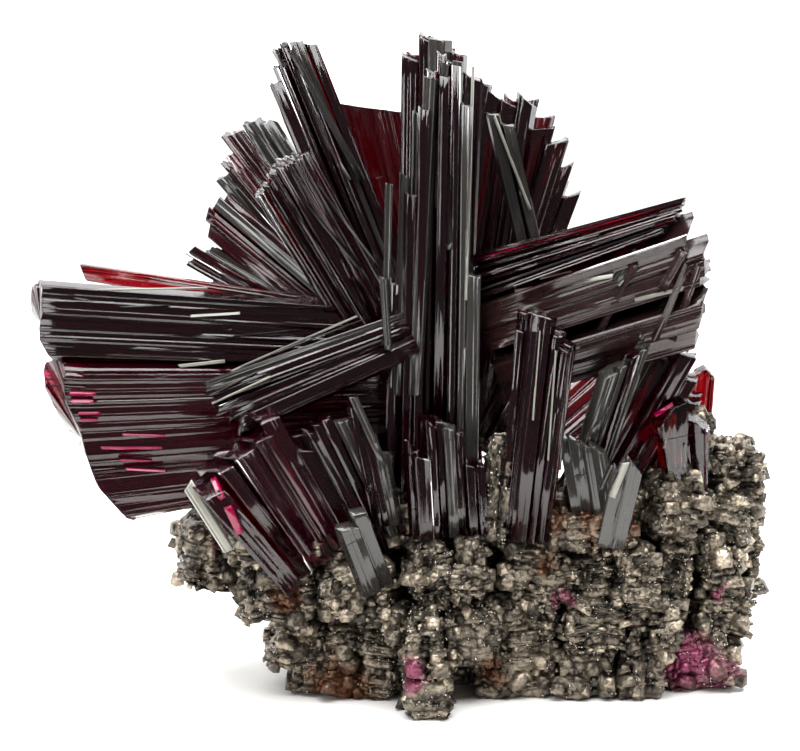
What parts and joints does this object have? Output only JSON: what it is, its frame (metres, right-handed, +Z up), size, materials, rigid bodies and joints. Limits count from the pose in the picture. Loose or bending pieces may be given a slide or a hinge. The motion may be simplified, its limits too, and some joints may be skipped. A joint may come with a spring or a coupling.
{
  "type": "erythrite on matrix",
  "caption": "Mineral specimen: a radiating spray of dark striated crystal blades standing on a small block of layered grey rock that rests on its flat underside.",
  "frame": {"origin": "under the middle of the specimen's box, on the surface it rests on", "axes": "+X to the right and +Y away from the viewer when the tall centre blade faces the viewer, +Z up"},
  "size_m": [0.0296, 0.0186, 0.0264],
  "materials": {
    "erythrite_near_black": "glassy to silky, striated along the blades",
    "erythrite_dark_crimson": "glassy, deep crimson where thin",
    "erythrite_bright_crimson": "glassy, bright crimson tip",
    "erythrite_rose_brown": "pearly cleavage face, rose brown",
    "erythrite_silver_sheen": "grey mirror sheen on dark laths",
    "matrix_rock": "rough, layered, with bright grains"
  },
  "bodies": {
    "root": {"centre_tall_blade": "erythrite_near_black", "rear_tall_blade": "erythrite_near_black", "left_upper_blade": "erythrite_near_black", "left_lower_blade": "erythrite_dark_crimson", "right_block_blade": "erythrite_rose_brown", "right_upper_bundle": "erythrite_near_black", "upper_left_blade": "erythrite_near_black", "mid_left_blade": "erythrite_near_black", "rear_left_slab": "erythrite_dark_crimson", "comb_inner_blade": "erythrite_near_black", "comb_outer_blade": "erythrite_near_black", "needle_blade": "erythrite_near_black", "fan_upper_blade": "erythrite_dark_crimson", "fan_middle_blade": "erythrite_dark_crimson", "fan_lower_blade": "erythrite_near_black", "left_thin_blade": "erythrite_bright_crimson", "diagonal_rods": "erythrite_near_black", "left_front_stub": "erythrite_dark_crimson", "left_inner_rods": "erythrite_near_black", "front_small_laths": "erythrite_silver_sheen", "front_low_tier": "erythrite_near_black", "right_front_rods": "erythrite_near_black", "right_lean_blade": "erythrite_silver_sheen", "right_base_laths": "erythrite_silver_sheen", "right_white_laths": "erythrite_silver_sheen", "right_low_blade": "erythrite_dark_crimson", "right_gem": "erythrite_bright_crimson", "right_gem_small": "erythrite_silver_sheen", "right_pink_tip": "erythrite_bright_crimson", "lower_left_chip": "erythrite_silver_sheen", "back_centre_blade": "erythrite_near_black", "back_left_blade": "erythrite_near_black", "back_right_blade": "erythrite_near_black", "back_low_left_blade": "erythrite_dark_crimson", "back_low_right_blade": "erythrite_dark_crimson", "back_stub": "erythrite_near_black", "matrix": "matrix_rock"}
  },
  "joints": []
}
